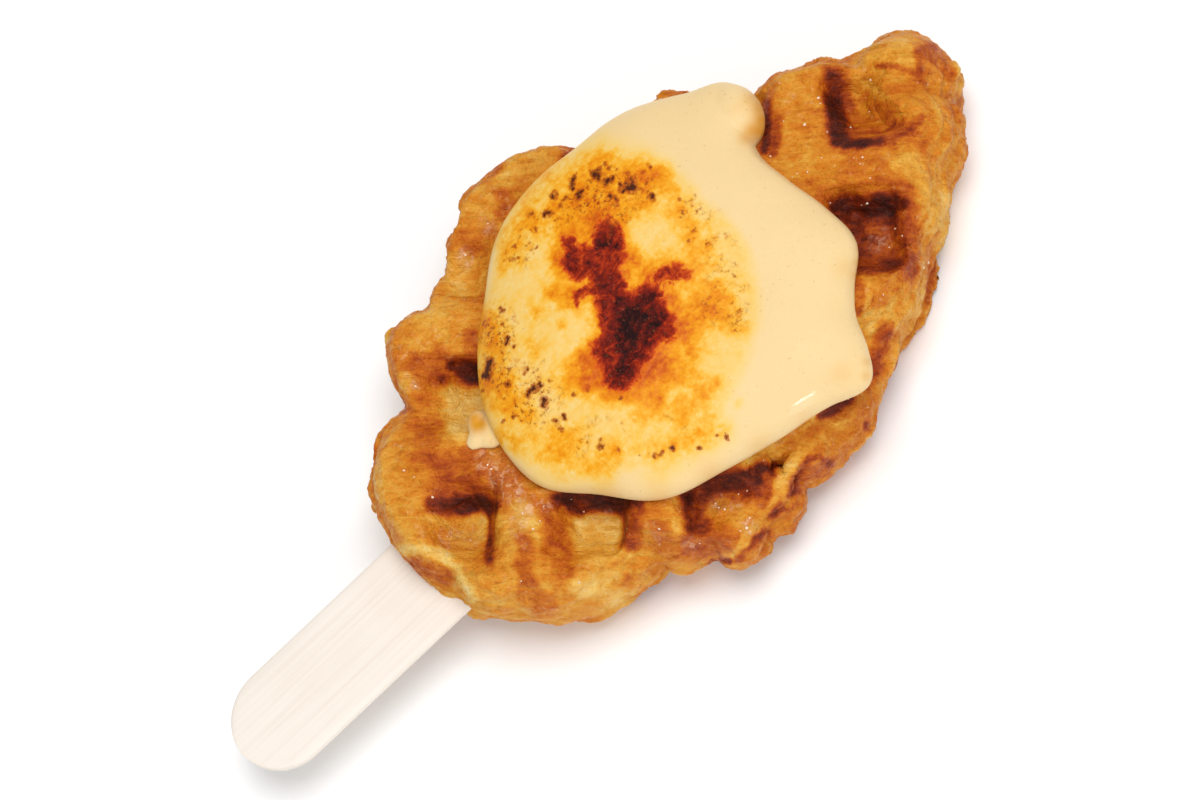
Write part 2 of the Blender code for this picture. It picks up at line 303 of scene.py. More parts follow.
# ---- pastry ----
LAYER_LEVELS = (-8.4, -5.3, -2.1, 1.2, 4.5, 7.7)  # heights of a lobe's layers, from its middle
LAYER_HALF = 2.1
CORE_INSET = 0.6
DOUGH_VOXEL = 0.7
CRUST_VOXEL = 0.5
HOLLOW_SMOOTHINGS = 14  # how much the surroundings are smoothed to tell hollows
WRINKLE_STRETCH = 3.2
LINE_SPACING = 2.1  # of the fine layer lines on the sides
PLAIN_BAKE = 0.47
LIPS = (  # radius, then the points of a rolled edge
    (1.1, ((-53.4, 1.5, 15.6), (-52.6, -0.9, 16.2), (-51.7, -2.8, 16.8), (-50.8, -4.9, 17),
           (-50.2, -6.9, 17), (-50.2, -9.4, 16.6), (-50.5, -12.2, 15.6), (-50.4, -15, 14.2))),
    (0.8, ((-15.4, -38.6, 11.2), (-12.2, -38.3, 12.4), (-8.9, -37.9, 13.2),
           (-6, -37.8, 13.8), (-3.1, -37.5, 14.3), (-0.3, -36.4, 14.8), (2.6, -35.3, 15.4),
           (6.5, -35.6, 15.6), (12, -36.2, 15.6))),
)


def strand(radius, stops):
    """A rolled edge: overlapping balls along a path, thinner towards both ends."""
    stops = [Vector(stop) for stop in stops]
    spans = len(stops) - 1
    bodies = []
    for index in range(spans):
        steps = max(2, int((stops[index + 1] - stops[index]).length / (0.4 * radius)))
        for k in range(steps + 1):
            along = (index + k / steps) / spans
            size = radius * (0.35 + 0.65 * math.sin(math.pi * along)**0.5)
            centre = stops[index].lerp(stops[index + 1], k / steps)
            bodies.append(ellipsoid((*centre, size, size, 0.8 * size, 0), segments=12))
    return bodies


def grid_coordinates(points):
    """Place in the iron's grid: offset from the nearest tooth's centre and the tooth's numbers."""
    x = points[:, 0] - GRID_ORIGIN[0]
    y = points[:, 1] - GRID_ORIGIN[1]
    u = (x * math.cos(GRID_TURN) + y * math.sin(GRID_TURN)) / PITCH
    v = (-x * math.sin(GRID_TURN) + y * math.cos(GRID_TURN)) / PITCH
    i = np.round(u)
    j = np.round(v)
    return (u - i) * PITCH, (v - j) * PITCH, i.astype(int), j.astype(int)


# Each pocket of the upper side by its tooth's numbers: how brown its floor is, from 0, pale,
# to 1, nearly black; how steep and dark its four walls are, those towards the grid's +u, -u,
# +v and -v, where a weak wall is a long pale slope and a wall's dark band is partly browning
# and partly painted shade; and how far it lies off the grid.
POCKETS = {
    (1, 0): (0.46, 0.2, 0.75, 1, 0.1, 0.3, -0.8),
    (0, 0): (0.72, 1, 0.6, 0.7, 0.55, -1.6, -0.3),
    (-1, 0): (0.42, 0.2, 0.15, 0.3, 0.1, 0, 0),
    (-2, 1): (0.62, 0.8, 0.15, 0.95, 0.5, -0.7, 0),
    (-2, 2): (0.16, 0.98, 0.1, 0.45, 0.75, -2, 0),
    (-2, 3): (0.26, 0.85, 0, 0.1, 0.88, 0.6, -0.9),
    (-1, 3): (0.22, 0.85, 0.4, 0.2, 0.7, 0, 0),
    (0, 3): (0.34, 0.3, 0.3, 0.35, 0.4, 0, 0),
    (1, 1): (0.44, 0.15, 0.2, 0.2, 0.35, 0, 0),
}
PLAIN_POCKET = (0.42, 0.65, 0.55, 0.65, 0.55, 0, 0)
WALL_OUTER = 8.6  # a wall's upper edge, from the tooth's centre
STEEP_WALL = 3.6  # width of the steepest wall, and of the weakest
WEAK_WALL = 10.5
WALL_DARK_IN = 2.9  # how far in from the upper edge a wall's dark band is darkest; the band is partly browning and partly painted shade
WALL_DARK_HALF = 2.6
SWELLING = (53.9, -2.6, 7.5, 3.6)  # dough risen back inside the tip's pocket: x, y, radius, height

# The shown side's browning, painted as strokes over the picture of the pastry together with
# painted shade in pocket walls and creases, painted shadow under the cream and painted
# highlights on ridges: how brown, half the stroke's width, how ragged its edge is, then x and
# y of each point of its path, all in the photograph's pixels. Later strokes cover earlier ones.
STROKES = (
    # end that the stick goes into
    (0.6, 17, 6, 452, 484, 478, 478, 500, 492),
    (0.83, 8, 3, 432, 506, 446, 509, 464, 507, 482, 503, 492, 509),
    (0.92, 6, 2, 470, 504, 484, 502, 494, 512, 496, 524),
    (0.86, 5, 2, 495, 512, 496, 526, 493, 542, 491, 562),
    (0.4, 12, 4, 506, 520, 506, 560, 500, 600),
    (0.24, 10, 6, 522, 508, 530, 522, 542, 532),
    (0.6, 9, 4, 525, 545, 524, 565, 530, 590),
    (0.58, 15, 6, 556, 520, 560, 545, 562, 570),
    (0.26, 15, 5, 602, 522, 604, 548),
    (0.34, 14, 6, 455, 552, 475, 575, 492, 600),
    (0.14, 6, 3, 405, 549, 425, 550, 445, 556, 456, 568, 462, 582, 472, 596),
    # partly browning and partly painted shade in the hollow under the rolled lip
    (0.6, 9, 4, 410, 566, 430, 571, 446, 578),
    (0.54, 11, 5, 526, 596, 545, 604),
    (0.22, 11, 5, 580, 590, 600, 582, 616, 574),
    (0.4, 10, 5, 634, 566, 650, 560),
    (0.28, 9, 5, 606, 556, 622, 555, 636, 551),
    # beside the cream's lower edge; the darkest strokes along that edge are painted shadow under the cream
    (0.92, 8, 2, 573, 497, 590, 502, 614, 506, 642, 508),
    (0.7, 9, 3, 633, 512, 634, 528, 633, 542),
    (0.54, 11, 5, 655, 508, 662, 528, 664, 545),
    (0.77, 11, 4, 704, 496, 700, 515, 697, 538),
    (0.65, 12, 5, 690, 545, 710, 545, 735, 535),
    (0.9, 10, 3, 712, 487, 728, 482, 748, 476, 766, 470),
    (0.62, 5, 2, 768, 478, 765, 496, 760, 508),
    (0.42, 14, 7, 722, 512, 745, 520),
    # long edge below the cream: the darkest strokes at the cream's edge are painted shadow under it, the
    # narrow dark strokes painted shade in the creases between folds, and the narrow pale strokes painted
    # highlights on their ridges
    (0.5, 12, 5, 790, 445, 812, 436, 840, 425),
    (0.86, 4, 3, 820, 416, 836, 408, 852, 399),
    (0.46, 11, 4, 748, 560, 762, 552, 770, 540, 778, 528),
    (0.46, 10, 4, 788, 522, 797, 510, 803, 496, 806, 484),
    (0.62, 9, 4, 798, 484, 806, 472, 822, 469),
    (0.58, 10, 4, 838, 452, 852, 438, 862, 424),
    (0.7, 3, 2, 738, 560, 745, 550, 754, 539, 766, 531),
    (0.68, 5, 3, 773, 513, 780, 507),
    (0.72, 5, 3, 790, 492, 794, 480, 800, 468, 807, 461),
    (0.74, 3, 2, 806, 459, 820, 458, 832, 464),
    (0.34, 3, 5, 741, 547, 748, 536, 758, 523, 768, 510),
    (0.28, 5, 5, 774, 502, 780, 490, 785, 475, 794, 461, 803, 451),
    (0.36, 3, 4, 805, 449, 819, 440, 834, 430, 855, 418),
    (0.5, 8, 4, 832, 450, 846, 438, 860, 424, 867, 405),
    (0.88, 3, 1, 720, 560, 729, 561),
    (0.76, 2, 1, 866, 424, 866, 428),
    # left lobes; the darkest strokes, by the cream's edge, are partly browning and partly painted shade
    (0.6, 12, 6, 440, 360, 455, 372, 420, 362, 400, 358),
    (0.92, 9, 3, 480, 372, 466, 370),
    (0.86, 5, 3, 466, 369, 450, 365),
    (0.64, 7, 4, 470, 336, 472, 352),
    (0.22, 14, 6, 456, 402, 458, 428),
    (0.56, 10, 6, 424, 405, 426, 440),
    (0.6, 8, 5, 420, 458, 440, 462, 478, 456),
    (0.56, 7, 4, 500, 196, 512, 202, 500, 214),
    (0.52, 8, 5, 492, 236, 474, 246, 456, 240),
    (0.3, 12, 6, 462, 262, 458, 285),
    # tip; the dark lines along the pocket's walls are partly browning and partly painted shade
    (0.34, 20, 5, 878, 60, 900, 52),
    (0.4, 20, 5, 880, 96, 905, 104),
    (0.62, 16, 5, 836, 98, 838, 112, 842, 134),
    (0.82, 11, 3, 837, 96, 838, 112, 840, 134),
    (0.93, 8, 3, 834, 108, 836, 128, 840, 139),
    (0.9, 4, 2, 836, 142, 856, 143, 878, 142, 892, 139),
    (0.68, 4, 2, 890, 139, 900, 134, 910, 128, 920, 118),
    (0.56, 8, 4, 864, 98, 874, 106, 888, 110),
    (0.56, 7, 4, 856, 118, 868, 124, 884, 124),
    (0.44, 9, 4, 888, 82, 902, 96, 908, 110),
    (0.6, 2, 1, 878, 67, 890, 65, 906, 70, 918, 76),
    (0.58, 4, 2, 918, 50, 920, 64, 922, 78, 928, 88),
    (0.64, 9, 4, 930, 52, 940, 62, 948, 76),
    (0.5, 9, 4, 932, 76, 946, 92, 954, 110),
    (0.38, 8, 4, 862, 62, 860, 74),
    (0.6, 14, 4, 830, 198, 860, 194, 896, 192),
    (0.72, 17, 3, 872, 228, 878, 252),
    (0.84, 8, 3, 838, 210, 850, 218, 858, 240),
    (0.92, 11, 3, 842, 207, 866, 207, 888, 205),
    (0.8, 6, 3, 896, 200, 904, 214),
    (0.68, 6, 3, 903, 214, 904, 236, 903, 260),
    (0.81, 5, 2, 862, 267, 880, 268, 898, 263),
    (0.86, 4, 2, 768, 104, 769, 124, 768, 140, 764, 150),
    (0.64, 5, 3, 776, 120, 777, 140, 774, 152),
    (0.73, 2, 1, 945, 186, 947, 188),
    (0.33, 14, 6, 905, 160, 925, 172, 938, 200),
    (0.28, 8, 5, 952, 205, 945, 222),
    (0.62, 5, 3, 858, 282, 862, 296, 858, 310),
    (0.5, 9, 5, 884, 284, 878, 300),
    (0.64, 9, 4, 886, 332, 879, 352, 872, 370),
)


# Where melted cream and sugar have wetted the crust: soft spots, as x, y, radius and strength.
MOIST = (
    (488, 460, 12, 0.9), (500, 474, 12, 0.9), (513, 490, 12, 0.8), (525, 508, 13, 0.8),
    (542, 506, 10, 0.6), (522, 536, 11, 0.5), (516, 520, 10, 0.7), (718, 503, 9, 0.9), (735, 508, 8, 0.6),
    (748, 527, 8, 0.8), (726, 550, 8, 0.5), (692, 546, 9, 0.6), (466, 257, 10, 0.8), (487, 225, 9, 0.4),
    (452, 540, 12, 0.5), (470, 538, 9, 0.4), (655, 530, 9, 0.4), (604, 518, 10, 0.3), (880, 240, 12, 0.4),
    (416, 384, 6, 0.6),
)


def warped(points):
    """Points moved a little sideways, so that no pocket's edge is straight."""
    flat = points * (1, 1, 0)
    return flat + 0.9 * np.stack((noise(flat, 8, 3), noise(flat, 8, 4), 0 * flat[:, 0]), 1)


def pocket_walls(points, upper):
    """For each point: its pocket's numbers, how many millimetres it lies inward of each of
    the four walls' upper edges, and how far down each wall it is, from 0 to 1."""
    u, v, i, j = grid_coordinates(warped(points))
    strengths = np.tile(PLAIN_POCKET, (len(points), 1))
    for (row, column), pocket in POCKETS.items():
        strengths[(i == row) & (j == column) & upper] = pocket
    u = u - strengths[:, 5]
    v = v - strengths[:, 6]
    inward = WALL_OUTER - np.stack((u, -u, v, -v))
    width = WEAK_WALL + (STEEP_WALL - WEAK_WALL) * strengths[:, 1:5].T
    return strengths, inward, smoothstep(0, width, inward)


def press(piece):
    """Push the dough in from both plates; its faces spring back unevenly."""
    points = points_of(piece)
    flat = points * (1, 1, 0)
    everywhere = np.ones(len(points), dtype=bool)
    _, _, down = pocket_walls(points, everywhere)
    spring = 0.55 * fractal(flat, 13, 3, 5)
    x, y, radius, height = SWELLING
    risen = height * smoothstep(1.0, 0.15, np.hypot(points[:, 0] - x, points[:, 1] - y) / radius)
    top = PRESSED - 0.5 + spring - np.maximum(POCKET_DEPTH * np.prod(down, axis=0) - risen, 0)
    _, _, down = pocket_walls(points, ~everywhere)
    bottom = POCKET_DEPTH * np.prod(down, axis=0)
    points[:, 2] = np.clip(points[:, 2], bottom, np.maximum(top, bottom + 1))
    set_points(piece, points)


def in_pairs(numbers):
    return np.array(numbers, float).reshape(-1, 2)


def stroke_distance(picture, path):
    """Each picture point's distance from a path, in pixels."""
    best = np.full(len(picture), np.inf)
    for a, b in zip(path, path[1:]):
        along = np.clip(((picture - a) @ (b - a)) / max((b - a) @ (b - a), 1e-9), 0, 1)
        nearest = a + along[:, None] * (b - a)
        best = np.minimum(best, np.hypot(*(picture - nearest).T))
    return best


def make_pastry():
    draw = np.random.RandomState(SEED)
    bodies = []
    for lobe in LOBES + FOLDS + INNER:
        x, y, z, a, b, c, turn = lobe
        bodies.append(ellipsoid((x, y, z, a - CORE_INSET, b - CORE_INSET, c, turn)))
        for level in LAYER_LEVELS:
            if abs(level) > 0.85 * c:
                continue
            reach = math.sqrt(1 - (level / c)**2)
            grow = draw.uniform(-1.1, 0.35)
            lean = draw.uniform(-0.05, 0.05, 2)
            off = draw.uniform(-0.5, 0.5, 2)
            layer = (x + off[0], y + off[1], z + level, a * reach + grow, b * reach + grow,
                     LAYER_HALF, turn + draw.uniform(-6, 6))
            bodies.append(ellipsoid(layer, lean, 56))
    bodies.extend(ellipsoid(flake) for flake in TORN)
    for radius, stops in LIPS:
        bodies.extend(strand(radius, stops))
    pastry = joined("pastry", bodies)
    remesh(pastry, DOUGH_VOXEL)
    smooth(pastry, 2)
    press(pastry)
    remesh(pastry, CRUST_VOXEL)
    smooth(pastry, 3)
    hollow = hollowness(pastry)
    wrinkle(pastry)
    paint_pastry(pastry, hollow)
    return pastry


def hollowness(piece):
    """How far each point lies under its smoothed surroundings, in millimetres."""
    before, normals = surface_of(piece)
    smoothed = in_scene("smoothed", piece.data.copy())
    smooth(smoothed, HOLLOW_SMOOTHINGS)
    drop = np.einsum("ij,ij->i", points_of(smoothed) - before, normals)
    bpy.data.objects.remove(smoothed)
    return drop


def stretched(points):
    """Coordinates in which wrinkles along the picture's horizontal come out long."""
    c, s = math.cos(ROLL), math.sin(ROLL)
    along = points[:, 0] * c - points[:, 1] * s
    across = points[:, 0] * s + points[:, 1] * c
    return np.stack((along / WRINKLE_STRETCH, across, points[:, 2]), 1)


def stepped(value, ramp):
    """A smooth value made into terraces, with this share of each step as its slope."""
    return np.floor(value) + smoothstep(0.0, ramp, value - np.floor(value))


def wrinkle(piece):
    """Fine relief of the crust: long wrinkles, blisters, layer lines and torn flakes."""
    points, normals = surface_of(piece)
    side = 1 - smoothstep(0.35, 0.8, np.abs(normals[:, 2]))
    long = stretched(points)
    wrinkles = 0.34 * (0.5 - np.abs(noise(long, 2.2, 21))) + 0.13 * noise(long, 0.9, 22)
    creases = 0.30 * smoothstep(0.10, 0.0, np.abs(noise(long, 6.5, 28)))
    creases *= smoothstep(-0.2, 0.3, noise(points, 7, 29))
    blisters = 0.17 * fractal(points, 3.8, 3, 23)
    waved = points[:, 2] + 0.9 * noise(points, 11, 24)
    lines = np.sin(2 * math.pi * waved / LINE_SPACING)
    layers = 0.12 * lines * side * (0.6 + 0.8 * noise(points, 8, 26))
    flakes = stepped(3.0 * fractal(points, 8.5, 2, 25), 0.15)
    torn = stepped(2.2 * fractal(points * (1, 1, 2), 4.5, 2, 27), 0.25)
    relief = wrinkles * (1 - 0.5 * side) - creases + blisters + layers + 0.26 * flakes + 0.16 * torn * side
    keep = smoothstep(0.0, 1.2, points[:, 2])
    points += normals * (relief * keep)[:, None]
    points[:, 2] = np.maximum(points[:, 2], 0)
    set_points(piece, points)


def paint_pastry(piece, hollow):
    """The crust's browning, from 0, pale dough, to 1, scorched, with painted shade in hollows, creases and
    along pocket walls, painted shadow under the cream's edge and painted highlights on some ridges laid
    in.
    """
    points, normals = surface_of(piece)
    upper = points[:, 2] > MID
    depth = np.where(upper, PRESSED - points[:, 2], points[:, 2])
    facing = smoothstep(0.25, 0.75, np.abs(normals[:, 2]))
    strengths, inward, down = pocket_walls(points, upper)
    inside = np.prod(down, axis=0)
    browning_and_shading = PLAIN_BAKE + 0.11 * fractal(points, 12, 3, 31)
    in_pocket = smoothstep(9.5, 7.0, depth)
    browning_and_shading += (strengths[:, 0] - browning_and_shading) * smoothstep(0.3, 0.95, inside) * in_pocket
    for k in range(4):
        # a wall is dark over its own band, and only as far as the walls next to it; the dark is partly
        # browning and partly painted shade
        others = np.prod(np.delete(down, k, axis=0), axis=0)
        strength = strengths[:, k + 1]
        off_band = np.abs(inward[k] - WALL_DARK_IN + 0.6 * noise(points, 2.6, 35))
        band = smoothstep(WALL_DARK_HALF, 0.4, off_band)
        band *= smoothstep(0.05, 0.5, others) * in_pocket * smoothstep(0.2, 0.85, strength)
        browning_and_shading += np.maximum(0.44 + 0.48 * strength - browning_and_shading, 0) * band
    sides = (1 - facing) * (1 - smoothstep(0.02, 0.3, inside) * smoothstep(9.0, 6.0, depth))
    browning_and_shading += (0.33 + 0.13 * fractal(points, 7, 2, 33) - browning_and_shading) * sides * 0.75
    # painted shade: darker in hollows and creases, a little paler on crests
    browning_and_shading += 0.5 * np.clip(hollow, -0.4, 0.5)
    picture = seen(points)
    rays = np.array(PLACE) - points
    towards = np.einsum("ij,ij->i", normals, rays) / np.linalg.norm(rays, axis=1)
    shown = smoothstep(0.0, 0.15, towards) * smoothstep(0.5, 3.0, points[:, 2])
    rough = fractal(points, 1.6, 2, 36)
    for brown, half, ragged, *path in STROKES:
        distance = stroke_distance(picture, in_pairs(path)) + 0.7 * ragged * rough
        cover = smoothstep(1.35 * half + 2, 0.45 * half, distance)
        browning_and_shading += (brown - browning_and_shading) * cover * shown
    set_attribute(piece, "browning_and_shading", np.clip(browning_and_shading, 0, 1))
    set_attribute(piece, "moist", patches(picture + 2.5 * rough[:, None], MOIST) * shown)


# ---- cream ----
CREAM_VOXEL = 0.32
CREAM_SMOOTHINGS = 22
CREAM_SWELL = 0.4  # what smoothing takes off its edge, put back
# The torch's burns: strength, half the edge's width, then x and y of each corner of its
# outline in the photograph's pixels.
BURNS = (
    (0.57, 7, 561, 238, 570, 236, 578, 244, 588, 243, 592, 230, 599, 220, 610, 216, 617, 224, 623, 232,
     625, 244, 629, 254, 622, 262, 617, 272, 612, 282, 604, 276, 598, 284, 584, 281, 572, 282, 564, 272,
     560, 256),
    (0.6, 6, 590, 272, 618, 266, 628, 284, 622, 300, 600, 298, 592, 286),
    (0.58, 5, 571, 300, 573, 291, 584, 285, 596, 287, 606, 292, 604, 300, 592, 296, 582, 300, 576, 306),
    (0.38, 7, 648, 278, 656, 268, 670, 262, 684, 264, 696, 270, 692, 280, 678, 282, 664, 288, 652, 290),
    (0.62, 9, 604, 282, 618, 284, 634, 290, 648, 284, 660, 286, 664, 300, 668, 312, 676, 324, 676, 336,
     664, 342, 654, 350, 646, 364, 638, 380, 626, 392, 612, 390, 600, 384, 600, 368, 592, 356, 590, 342,
     602, 334, 600, 318, 596, 304, 600, 292),
    (0.72, 6, 594, 234, 606, 224, 613, 236, 624, 246, 614, 254, 600, 250, 586, 250),
    (0.74, 5, 564, 262, 576, 260, 582, 270, 574, 278, 566, 272),
    (0.78, 8, 612, 292, 626, 292, 640, 292, 650, 282, 658, 288, 658, 304, 666, 318, 664, 332, 650, 342,
     642, 356, 632, 370, 620, 382, 606, 380, 606, 366, 614, 352, 606, 342, 612, 324, 608, 306),
    (0.96, 8, 616, 308, 628, 302, 642, 306, 652, 316, 646, 328, 640, 338, 636, 352, 626, 364, 616, 374,
     610, 368, 618, 354, 622, 340, 614, 324),
)
# Soft round spots: x, y and radius in the photograph's pixels, and strength.
TOASTS = (
    (600, 172, 24, 0.8), (575, 192, 18, 0.46), (642, 176, 20, 0.8), (652, 176, 12, 0.75),
    (582, 206, 20, 0.48), (618, 206, 14, 0.55), (553, 200, 13, 0.55), (530, 220, 13, 0.52),
    (646, 204, 12, 0.42), (515, 250, 15, 0.42), (502, 238, 10, 0.3), (564, 225, 16, 0.35),
    (590, 218, 16, 0.5), (556, 262, 8, 0.42), (628, 262, 12, 0.6), (643, 270, 15, 0.4),
    (558, 294, 11, 0.6), (534, 314, 10, 0.28), (561, 325, 6, 0.32), (534, 350, 10, 0.35),
    (690, 322, 19, 0.68), (670, 300, 10, 0.6), (682, 330, 9, 0.7), (702, 300, 15, 0.5),
    (716, 315, 13, 0.52), (692, 345, 11, 0.62), (686, 370, 13, 0.66), (660, 366, 15, 1),
    (660, 370, 11, 1), (588, 381, 9, 0.9), (646, 386, 17, 0.62), (589, 364, 12, 0.66),
    (585, 378, 15, 0.52), (610, 394, 14, 0.52), (655, 400, 13, 0.55), (640, 416, 10, 0.32),
    (570, 380, 15, 0.35), (486, 322, 15, 0.6), (492, 348, 14, 0.62), (488, 380, 12, 0.62),
    (508, 394, 15, 0.55), (480, 402, 9, 0.36), (520, 412, 15, 0.36), (530, 436, 13, 0.12),
    (500, 442, 12, 0.3), (560, 460, 26, 0.36), (600, 464, 20, 0.24), (615, 448, 10, 0.42),
    (660, 460, 20, 0.3), (680, 446, 13, 0.42), (702, 440, 14, 0.42), (700, 414, 18, 0.24),
    (680, 410, 11, 0.42), (700, 395, 10, 0.5), (712, 380, 8, 0.3), (722, 430, 11, 0.4),
    (740, 404, 6, 0.26), (680, 210, 11, 0.42), (692, 230, 13, 0.42), (702, 252, 16, 0.42),
    (716, 280, 16, 0.12), (722, 302, 15, 0.42), (736, 322, 9, 0.3), (668, 185, 12, 0.4),
    (565, 440, 13, 0.4), (548, 180, 12, 0.45), (526, 205, 10, 0.45), (512, 228, 10, 0.4),
    (500, 262, 8, 0.3), (504, 439, 9, 0.3), (514, 451, 9, 0.24), (530, 192, 8, 0.4), (514, 215, 7, 0.35),
    (560, 161, 8, 0.4),
)
YELLOW_AND_SHADE = (  # yellow patches: painted shade on the knob's side and along the cream's right and lower rim, and the drip's own golden colour
    (750, 98, 7, 0.5), (758, 108, 8, 0.7), (762, 120, 8, 0.9), (761, 132, 8, 0.9), (752, 130, 8, 0.7),
    (745, 138, 7, 0.5), (474, 418, 7, 1), (476, 426, 7, 1), (482, 424, 6, 1), (861, 238, 5, 0.6),
    (862, 250, 5, 0.7), (859, 262, 5, 0.6), (856, 275, 5, 0.4), (867, 362, 5, 0.4), (866, 376, 5, 0.4),
    (480, 402, 8, 0.3), (845, 268, 10, 0.22), (842, 372, 12, 0.22), (738, 108, 8, 0.22),
    (806, 420, 10, 0.25), (760, 446, 12, 0.25), (710, 474, 14, 0.3), (660, 497, 14, 0.3),
    (610, 494, 14, 0.25),
)
WET = ((798, 402, 18, 1), (767, 409, 8, 0.6))  # where it shines
TORCHED = (-4.8, -2.6, 24.6)  # x, y, radius of the disc that the torch went over, in mm
DOTS = (  # x, y and radius in the photograph's pixels, and strength
    (597, 176, 4.5, 1), (600, 170, 2.5, 0.8), (592, 173, 2.2, 0.7), (607, 181, 4, 1),
    (613, 178, 2.2, 0.8), (573, 181, 3.5, 0.9), (571, 186, 3, 0.9), (575, 176, 2.2, 0.7),
    (578, 195, 4.2, 1), (582, 191, 2.6, 0.8), (552, 197, 3, 0.9), (556, 193, 2.2, 0.7),
    (560, 204, 2.4, 0.7), (562, 198, 2.2, 0.6), (566, 195, 2, 0.7), (545, 213, 3, 0.9),
    (549, 211, 2.4, 0.9), (531, 213, 2.6, 0.7), (528, 216, 2.2, 0.6), (536, 229, 2.8, 0.6),
    (530, 230, 2.2, 0.5), (514, 246, 2.6, 0.6), (535, 247, 2.2, 0.6), (511, 259, 2.4, 0.5),
    (517, 258, 2.2, 0.5), (654, 197, 3.2, 1), (650, 194, 2, 0.7), (631, 189, 5, 1), (635, 186, 3, 0.9),
    (622, 192, 3.4, 0.9), (620, 186, 2.6, 0.8), (626, 183, 2.2, 0.7), (611, 197, 3.2, 0.9),
    (615, 200, 2.2, 0.7), (628, 174, 3, 0.7), (632, 180, 3, 0.7), (617, 206, 2.6, 0.6),
    (594, 199, 2.2, 0.6), (600, 203, 2.6, 0.6), (587, 187, 2, 0.6), (610, 168, 2.8, 0.7),
    (605, 164, 2.2, 0.6), (618, 169, 2.2, 0.6), (642, 172, 2.2, 0.6), (649, 167, 2.4, 0.6),
    (640, 190, 2.4, 0.6), (604, 190, 2.2, 0.5), (680, 200, 2.2, 0.6), (688, 241, 2.2, 0.6),
    (694, 197, 2, 0.5), (501, 309, 2.6, 0.8), (502, 323, 2.6, 0.7), (507, 338, 2.8, 0.9),
    (506, 343, 2.8, 0.9), (514, 347, 2.3, 0.8), (503, 353, 2.2, 0.6), (486, 375, 4.4, 1.1),
    (488, 368, 4.2, 1.1), (490, 361, 4.4, 1), (483, 391, 2.6, 0.6), (509, 384, 3.4, 0.9),
    (500, 390, 2.2, 0.5), (528, 369, 2.8, 0.8), (524, 373, 2, 0.6), (535, 387, 3.4, 0.9),
    (541, 384, 2.6, 0.8), (529, 391, 3.8, 0.9), (528, 397, 2.8, 0.8), (546, 400, 3.8, 1),
    (544, 406, 2.8, 0.8), (516, 417, 3, 0.7), (503, 421, 2.2, 0.6), (505, 399, 2.2, 0.5),
    (564, 414, 2.8, 0.9), (565, 419, 2.6, 0.8), (556, 422, 2.8, 0.8), (560, 430, 2.8, 0.7),
    (574, 395, 2.2, 0.8), (590, 391, 2.4, 0.6), (620, 398, 2.4, 0.8), (601, 447, 3.2, 0.7),
    (600, 439, 2, 0.6), (618, 449, 2.2, 0.6), (672, 448, 3.2, 0.9), (661, 454, 2.8, 0.8),
    (654, 456, 2.6, 0.7), (640, 454, 2, 0.5), (700, 449, 2.8, 0.8), (727, 437, 3, 0.9),
    (718, 436, 2.2, 0.6), (737, 320, 2.2, 0.5), (717, 311, 2, 0.5),
)
SPECKLED = (  # where finer specks lie thick
    (600, 185, 46, 0.9), (636, 180, 26, 1), (560, 205, 26, 0.7), (520, 245, 22, 0.6), (494, 330, 24, 0.9),
    (500, 372, 26, 0.8), (535, 400, 34, 0.7), (600, 440, 36, 0.4), (670, 452, 34, 0.4),
    (725, 300, 30, 0.6), (700, 215, 26, 0.5), (718, 262, 26, 0.5),
)


def rim_radius(angle):
    """The rim's distance from the cream's centre, smooth through the RIM points."""
    points = np.array(RIM) - CREAM_CENTRE
    angles = np.arctan2(points[:, 1], points[:, 0])
    order = np.argsort(angles)
    knots = angles[order]
    radii = np.hypot(points[:, 0], points[:, 1])[order]
    knots = np.concatenate((knots[-2:] - 2 * math.pi, knots, knots[:2] + 2 * math.pi))
    radii = np.concatenate((radii[-2:], radii, radii[:2]))
    slopes = np.gradient(radii, knots)
    k = np.searchsorted(knots, angle) - 1
    span = knots[k + 1] - knots[k]
    t = (angle - knots[k]) / span
    return ((2 * t**3 - 3 * t**2 + 1) * radii[k] + (t**3 - 2 * t**2 + t) * span * slopes[k]
            + (3 * t**2 - 2 * t**3) * radii[k + 1] + (t**3 - t**2) * span * slopes[k + 1])


